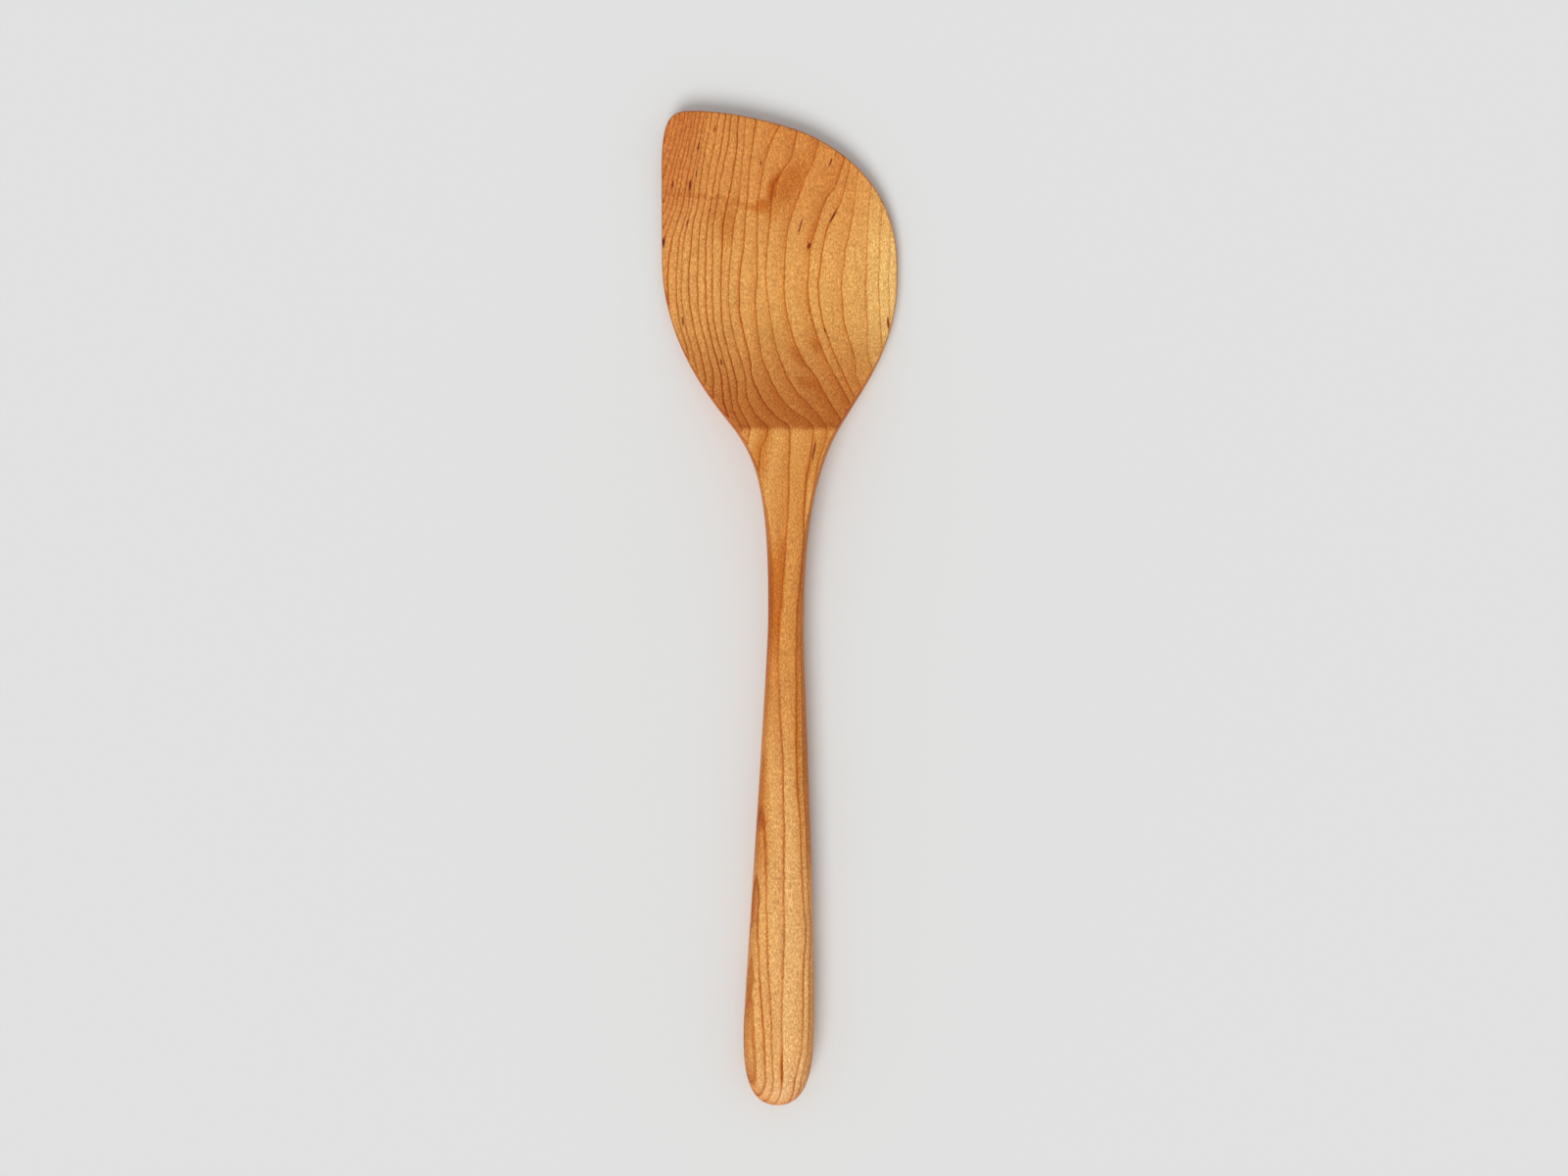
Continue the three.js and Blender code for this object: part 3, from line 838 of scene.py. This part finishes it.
    def bumps(self):
        """Fine relief of the fibres, speckles and pores."""
        height = self.total(
            self.math("MULTIPLY", self.fibre, FIBRE_HEIGHT),
            self.speckle,
            self.math("MULTIPLY", self.pores, PORE_HEIGHT),
        )
        bump = self.add("ShaderNodeBump")
        bump.inputs["Strength"].default_value = BUMP_STRENGTH
        bump.inputs["Distance"].default_value = BUMP_HEIGHT * MM
        self.put(bump.inputs["Height"], height)
        return bump.outputs[0]


def cherry():
    wood = Cherry()
    return wood.surface({
        "Base Color": wood.figured(wood.oiled_and_shaded(wood.toned())),
        "Roughness": wood.math("MULTIPLY_ADD", wood.fibre, FIBRE_ROUGHNESS, ROUGHNESS),
        "Normal": wood.bumps(),
        "Specular IOR Level": SPECULAR,
    })


def table_top():
    return Look("pale_table").surface({
        "Base Color": srgb(*TABLE_TONE),
        "Roughness": TABLE_ROUGHNESS,
        "Specular IOR Level": SPECULAR,
    })


# Camera, light and table

FRAME_WIDTH = 537.3  # millimetres across the picture at the outline's height
OUTLINE_HEIGHT = 6
CAMERA_X = 1.5
CAMERA_Y = 6.8
SENSOR = 36
LENS = 50
CLIP_START = 10
KEY_FROM = (-0.7, -1.75, 2.2)  # metres from the middle of the spatula
KEY_SPREAD = 33  # degrees
KEY_STRENGTH = 1.7
SKY_STRENGTH = 0.5
TABLE_SIZE = 40  # metres


def add_object(name, data):
    made = bpy.data.objects.new(name, data)
    bpy.context.scene.collection.objects.link(made)
    return made


def make_camera():
    data = bpy.data.cameras.new("camera")
    data.sensor_width = SENSOR
    data.lens = LENS
    data.clip_start = CLIP_START * MM
    camera = add_object("camera", data)
    height = OUTLINE_HEIGHT + FRAME_WIDTH * LENS / SENSOR
    camera.location = (CAMERA_X * MM, CAMERA_Y * MM, height * MM)
    bpy.context.scene.camera = camera


def make_light():
    data = bpy.data.lights.new("key", "SUN")
    data.angle = math.radians(KEY_SPREAD)
    data.energy = KEY_STRENGTH
    key = add_object("key", data)
    key.location = KEY_FROM
    key.rotation_euler = (-Vector(KEY_FROM)).to_track_quat("-Z", "Y").to_euler()
    world = bpy.data.worlds.new("sky")
    world.use_nodes = True
    world.node_tree.nodes["Background"].inputs["Color"].default_value = srgb(255, 255, 255)
    world.node_tree.nodes["Background"].inputs["Strength"].default_value = SKY_STRENGTH
    bpy.context.scene.world = world


def make_table():
    half = TABLE_SIZE / 2
    mesh = bpy.data.meshes.new("table")
    corners = [(-half, -half, 0), (half, -half, 0), (half, half, 0), (-half, half, 0)]
    mesh.from_pydata(corners, [], [(0, 1, 2, 3)])
    mesh.materials.append(table_top())
    add_object("table", mesh)


def make_spatula():
    spatula = add_object("spatula", spatula_mesh())
    spatula.data.materials.append(cherry())
    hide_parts(NODE)
    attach(spatula, "root")


make_camera()
make_light()
make_table()
make_spatula()
bpy.context.scene.view_settings.view_transform = "Standard"
